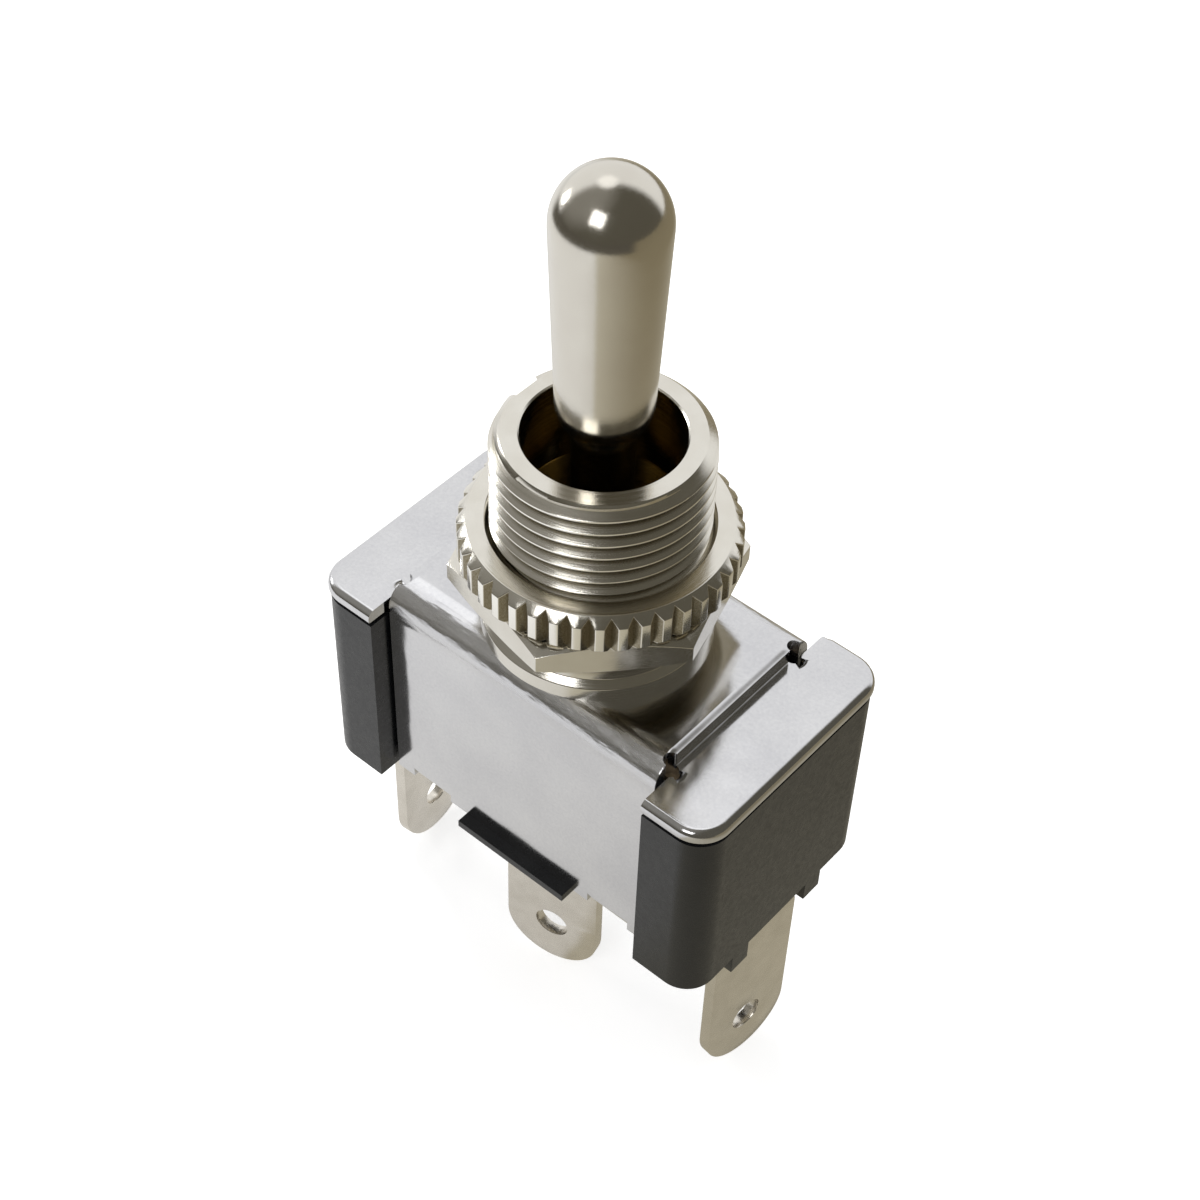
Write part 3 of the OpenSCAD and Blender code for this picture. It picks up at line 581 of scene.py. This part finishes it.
ring = [
    (NUT_BORE, HEX_TOP), (7.45, HEX_TOP), (7.9, HEX_TOP + 0.45), (7.9, -0.72),
    (CHAMFER_R, 0), (6.22, 0), (NUT_BORE, -0.62), (NUT_BORE, HEX_TOP),
]
bm = combine(bm, turned(ring, 160), "INTERSECT")
bmesh.ops.dissolve_limit(bm, angle_limit=FLAT, verts=bm.verts, edges=bm.edges)
ease_edges(bm, 0.035, 2, lambda p: p.xy.length > 6.9)
piece("serrated_nut_rolled", bm, nickel, "housing", "nickel_brass", "serrated_nut", even=True)


# ---- Handle ----
# The bat handle is turned brass, nickel plated and tumbled smooth. A ball at its neck rocks in the
# bushing on the cross pin, and the sprung plunger slides in the arm below it.
satin, tree, shader, at = new_material("tumbled nickel", (0.68, 0.65, 0.58), 0.2, 1.0)
cloud = noise(tree, at, 0.35, 3.0)
tumble = noise(tree, at, 8.0, 3.0, 0.6)
clouded = remap(tree, cloud, 0.3, 0.7, 0.0, 1.0)
clean = blend_colour(tree, clouded, (0.68, 0.645, 0.58), (0.72, 0.69, 0.62))
# painted shade: the handle below the bushing's mouth is painted dark, where shade falls inside the
# bushing
shade_in_bushing = step(tree, add(tree, "SeparateXYZ", {0: at}).outputs["Z"], TOP + 0.25, TOP - 0.2)
tree.links.new(
    blend_colour(tree, shade_in_bushing, clean, (0.22, 0.19, 0.12)), shader.inputs["Base Color"],
)
tree.links.new(remap(tree, tumble, 0.3, 0.7, 0.13, 0.21), shader.inputs["Roughness"])
bump(tree, shader, (tumble, 0.0022), (cloud, 0.012))

PIVOT = -3.2
TIP_R, TIP_Z = 3.03, 19.32
FOOT_R, FOOT_Z = 2.6, 8.4
NECK_R = 1.7
BALL_R = 2.7
ARM_R, ARM_LOW = 2.3, PIVOT - 9.5
SOCKET_R, SOCKET_TOP = 1.65, PIVOT - 3.1


def arc(radius, z, first, last, count):
    """Points (r, z) on a circle round the axis's point z, by the angle up from straight down."""
    angles = [math.radians(first + k * (last - first) / count) for k in range(count + 1)]
    return [(radius * math.sin(a), z - radius * math.cos(a)) for a in angles]


profile = [(0, SOCKET_TOP), (SOCKET_R, SOCKET_TOP), (SOCKET_R, ARM_LOW), (ARM_R, ARM_LOW)]
profile += arc(BALL_R, PIVOT, 58.4, 141, 24)
profile += [(NECK_R, z) for z in (0.5, 3.0, 6.2)]
profile += arc(FOOT_R, FOOT_Z, 44, 88, 14)
for k in range(1, 13):
    share = k / 12
    rise = 0.2 + (TIP_Z - FOOT_Z - 0.4) * share
    profile.append((FOOT_R + (TIP_R - FOOT_R) * share, FOOT_Z + rise))
profile += arc(TIP_R, TIP_Z, 90, 180, 28)[1:]
bm = turned(profile, 128)
piece("bat_handle", bm, satin, "handle", "nickel_brass", "lever")


# ---- Terminals ----
# Each terminal is blanked from brass strip and tin plated: a foot on the base's floor, a fold, and
# a blade through the floor that is twisted to lock it. The end is round, with a punched wire hole.
BLADE_W, BLADE_T = 6.35, 0.8
BLADE_END = -37.0
HOLE_R, HOLE_Z = 1.1, -33.5
FLOOR = -21.1
TWIST_H = 1.6
TWIST_SPARE = 0.2

tinned, tree, shader, at = new_material("tinned brass", (0.62, 0.58, 0.51), 0.45, 1.0)
mottle = noise(tree, at, 0.7, 4.0, 0.6)
fine = noise(tree, at, 7.0, 3.0, 0.6)
drawn = noise(tree, stretched(tree, at, (5.0, 5.0, 0.4)), 2.5, 3.0)
paint(tree, shader, mottle, 0.3, 0.7, (0.74, 0.70, 0.63), (0.84, 0.80, 0.73))
tree.links.new(remap(tree, fine, 0.3, 0.7, 0.22, 0.34), shader.inputs["Roughness"])
bump(tree, shader, (drawn, 0.004), (fine, 0.004))


def terminal(name, foot, twist, turn, place):
    """One terminal, made in the X-Z plane as a sheet, thickened, twisted, and set in its place."""
    half = BLADE_W / 2
    centre = BLADE_END + half
    bm = bmesh.new()
    outer = bmesh.ops.create_circle(bm, cap_ends=False, segments=64, radius=half * MM)["verts"]
    for vert in outer:
        if vert.co.y > 0:
            vert.co *= half * MM / max(abs(vert.co.x), vert.co.y)
    inner = bmesh.ops.create_circle(bm, cap_ends=False, segments=64, radius=HOLE_R * MM)["verts"]
    bmesh.ops.translate(bm, vec=(0, (HOLE_Z - centre) * MM, 0), verts=inner)
    bmesh.ops.bridge_loops(bm, edges=bm.edges[:])
    turn_about(bm, "X", 90)
    bmesh.ops.translate(bm, vec=(0, 0, centre * MM), verts=bm.verts)
    top = (centre + half) * MM
    rim = [e for e in bm.edges if e.is_boundary and all(v.co.z > top - 1e-6 for v in e.verts)]
    twisted = TWIST_H + TWIST_SPARE
    levels = [BASE_BOTTOM - twisted + k * twisted / 8 for k in range(9)]
    for level in levels + [FLOOR + BLADE_T / 2]:
        grown = bmesh.ops.extrude_edge_only(bm, edges=rim)
        moved = new_verts(grown)
        bmesh.ops.translate(bm, vec=(0, 0, level * MM - moved[0].co.z), verts=moved)
        rim = [
            e for e in grown["geom"]
            if isinstance(e, bmesh.types.BMEdge) and all(v in moved for v in e.verts)
        ]
    grown = bmesh.ops.extrude_edge_only(bm, edges=rim)
    bmesh.ops.translate(bm, vec=(0, foot * MM, 0), verts=new_verts(grown))
    bmesh.ops.recalc_face_normals(bm, faces=bm.faces)
    bmesh.ops.solidify(bm, geom=bm.faces[:], thickness=BLADE_T * MM)
    bmesh.ops.recalc_face_normals(bm, faces=bm.faces)
    flat = [v.co.y for v in bm.verts if v.co.z < -30 * MM]
    bmesh.ops.translate(bm, vec=(0, -(min(flat) + max(flat)) / 2, 0), verts=bm.verts)
    ease_edges(bm, 0.07, 2, lambda p: p.z < BASE_BOTTOM)
    for vert in bm.verts:
        down = min(max((BASE_BOTTOM - vert.co.z / MM) / TWIST_H, 0), 1)
        down = down * down * (3 - 2 * down)
        vert.co = Matrix.Rotation(math.radians(twist) * down, 3, "Z") @ vert.co
    turn_about(bm, "Z", turn)
    bmesh.ops.translate(bm, vec=Vector(place) * MM, verts=bm.verts)
    piece(name + "_blade", bm, tinned, "housing", "tinned_brass", name, even=True)


SIDE_X, SIDE_Y = 13.0, -0.65
terminal("common_terminal", 6.0, 12, 0, (0, -3.2, 0))
terminal("right_terminal", 5.0, -7, 90, (SIDE_X, SIDE_Y, 0))
terminal("left_terminal", -5.0, 5, 90, (-SIDE_X, SIDE_Y, 0))


# ---- Contact gear ----
# Inside, a nylon plunger presses a phenolic saddle on a copper bar, which rocks in a brass cradle
# riveted to the middle terminal. The moving and fixed contacts are silver, and the pin is steel.
for name, colour, roughness, metallic, scale, depth, nodes in (
    ("steel wire", (0.52, 0.52, 0.53), 0.30, 1.0, 6.0, 0.003, ("cross_pin", "plunger_spring")),
    ("nylon", (0.80, 0.77, 0.68), 0.38, 0.0, 3.0, 0.006, ("plunger",)),
    ("brown phenolic", (0.30, 0.07, 0.035), 0.45, 0.0, 4.0, 0.010, ("saddle",)),
    ("copper strip", (0.78, 0.42, 0.26), 0.32, 1.0, 5.0, 0.004, ("contact_bar",)),
    ("contact silver", (0.86, 0.85, 0.82), 0.26, 1.0, 7.0, 0.003,
     ("moving_contact_left", "moving_contact_right", "fixed_contact_left", "fixed_contact_right")),
    ("brass strip", (0.74, 0.54, 0.25), 0.34, 1.0, 5.0, 0.004, ("cradle", "cradle_rivet")),
):
    made, tree, shader, at = new_material(name, colour, roughness, metallic)
    wear = noise(tree, at, scale, 3.0)
    darker = tuple(0.85 * c for c in colour)
    paint(tree, shader, wear, 0.3, 0.7, darker, colour)
    tree.links.new(
        remap(tree, wear, 0.3, 0.7, roughness - 0.08, roughness + 0.08), shader.inputs["Roughness"],
    )
    bump(tree, shader, (wear, depth))
    for node in nodes:
        finish_node(node, made)


# ---- Studio ----
# A pale floor at the blades' ends, a dim room on the camera's side and a bright backdrop behind,
# three soft lamps, and the camera. Here the floor's size and paint, the lamps and the clipping
# are in metres.
FLOOR_HALF = 1.5
FLOOR_GAP = 0.05
CAMERA = Vector((53.52, -65.37, 84.54)) * MM
AZIMUTH, ELEVATION = math.radians(39.234), math.radians(47.151)
ROLL = math.radians(2.069)
WHITE = (1, 1, 1)

bm = bmesh.new()
bmesh.ops.create_grid(bm, x_segments=1, y_segments=1, size=FLOOR_HALF)
bmesh.ops.translate(bm, vec=(0, 0, (BLADE_END - FLOOR_GAP) * MM), verts=bm.verts)
floor_mesh = bpy.data.meshes.new("floor")
bm.to_mesh(floor_mesh)
bm.free()
floor = bpy.data.objects.new("floor", floor_mesh)
bpy.context.scene.collection.objects.link(floor)
floor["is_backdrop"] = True
floor_paint = bpy.data.materials.new("floor paint")
floor_paint.use_nodes = True
tree = floor_paint.node_tree
tree.nodes.clear()
rays = add(tree, "LightPath")
sees = rays.outputs["Is Camera Ray"]
# painted shade in the paper's tone, which the plating sees: pale on the left, darker on the right,
# and a painted shadow far in front
at = add(tree, "TexCoord").outputs["Object"]
spot = vector_maths(tree, "MULTIPLY", at, (1, 1, 0)).outputs[0]
reach = vector_maths(tree, "LENGTH", spot).outputs["Value"]
aim = vector_maths(tree, "NORMALIZE", spot).outputs[0]
across = remap(tree, along(tree, spot, (-4.6, -3.6, 0)), -0.38, 0.26, 0, 1)
leftward = step(tree, along(tree, aim, (-0.866, -0.5, 0)), 0.14, 0.36)
ahead = step(tree, along(tree, aim, (-0.1, -1, 0)), -0.1, 0.25)
tone = blend_colour(tree, across, (0.40, 0.36, 0.28), (0.96, 0.96, 0.96))
half_tone = blend_colour(tree, leftward, (0.74, 0.71, 0.61), WHITE)
tone = vector_maths(tree, "MULTIPLY", tone, half_tone).outputs[0]
far_shadow = product(tree, step(tree, reach, 0.13, 0.19), ahead)
tone = blend_colour(tree, far_shadow, tone, (0.12, 0.11, 0.09))
quarter_tone = blend_colour(tree, 0.25, (0, 0, 0), tone)
matt_colour = blend_colour(tree, sees, quarter_tone, (0.80, 0.80, 0.80))
matt = add(tree, "BsdfDiffuse", {"Color": matt_colour})
# the camera and the plating see it glow, and matt surfaces only see it lit
mirrored = maths(tree, "MAXIMUM", sees, rays.outputs["Is Glossy Ray"])
strength = product(tree, remap(tree, sees, 0, 1, 0.70, 0.62), mirrored)
glow = add(tree, "Emission", {
    "Color": blend_colour(tree, sees, tone, WHITE), "Strength": strength,
})
both = add(tree, "AddShader", {0: matt.outputs[0], 1: glow.outputs[0]})
add(tree, "OutputMaterial", {"Surface": both.outputs[0]})
floor_mesh.materials.append(floor_paint)

world = bpy.data.worlds.new("studio")
bpy.context.scene.world = world
world.use_nodes = True
tree = world.node_tree
tree.nodes.clear()
rays = add(tree, "LightPath")
way = add(tree, "TexCoord").outputs["Generated"]
front = (math.sin(AZIMUTH), -math.cos(AZIMUTH), 0)
behind = step(tree, along(tree, way, front), -0.22, -0.48)
wall = step(tree, along(tree, way, (-0.57, -0.33, 0.75)), 0.5, 0.95)
soft_box = step(tree, along(tree, way, (-0.36, 0.26, 0.896)), 0.955, 0.985)
room = blend_colour(tree, wall, (0.105, 0.097, 0.076), (0.27, 0.26, 0.235))
room = blend_colour(tree, behind, room, (0.95, 0.95, 0.95))
room = blend_colour(tree, soft_box, room, (1.3, 1.3, 1.3))
matt_or_gloss = blend_colour(tree, rays.outputs["Is Glossy Ray"], (0.5, 0.5, 0.5), room)
colour = blend_colour(tree, rays.outputs["Is Camera Ray"], matt_or_gloss, WHITE)
back = add(tree, "Background", {"Color": colour, "Strength": 1.0})
add(tree, "OutputWorld", {"Surface": back.outputs[0]})

for name, way, distance, size, power, tint in (
    ("back lamp", (-0.52, 0.32, 0.79), 0.34, 0.16, 0.62, (1.0, 0.99, 0.97)),
    ("front lamp", (0.10, -0.742, 0.662), 0.36, 0.15, 0.19, (1.0, 1.0, 1.0)),
    ("left lamp", (-0.955, -0.16, 0.25), 0.30, 0.06, 0.09, (1.0, 1.0, 1.0)),
):
    lamp = bpy.data.lights.new(name, "AREA")
    lamp.shape = "SQUARE"
    lamp.size = size
    lamp.energy = power
    lamp.color = tint
    made = bpy.data.objects.new(name, lamp)
    bpy.context.scene.collection.objects.link(made)
    made.location = Vector(way).normalized() * distance
    made.rotation_euler = Vector(way).to_track_quat("Z", "Y").to_euler()
    made.visible_glossy = name != "back lamp"

flat = math.cos(ELEVATION)
forward = -Vector((math.sin(AZIMUTH) * flat, -math.cos(AZIMUTH) * flat, math.sin(ELEVATION)))
level = forward.cross(Vector((0, 0, 1))).normalized()
upright = level.cross(forward)
right = math.cos(ROLL) * level + math.sin(ROLL) * upright
up = -math.sin(ROLL) * level + math.cos(ROLL) * upright
lens = bpy.data.cameras.new("camera")
lens.sensor_width = 36.0
lens.lens = 67.68
lens.clip_start = 0.005
lens.clip_end = 10.0
camera = bpy.data.objects.new("camera", lens)
bpy.context.scene.collection.objects.link(camera)
camera.matrix_world = Matrix((
    (right.x, up.x, -forward.x, CAMERA.x),
    (right.y, up.y, -forward.y, CAMERA.y),
    (right.z, up.z, -forward.z, CAMERA.z),
    (0, 0, 0, 1),
))
bpy.context.scene.camera = camera
bpy.context.scene.view_settings.view_transform = "Standard"

size = {"cad": cad_size, "visual": [list(corner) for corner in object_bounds()]}
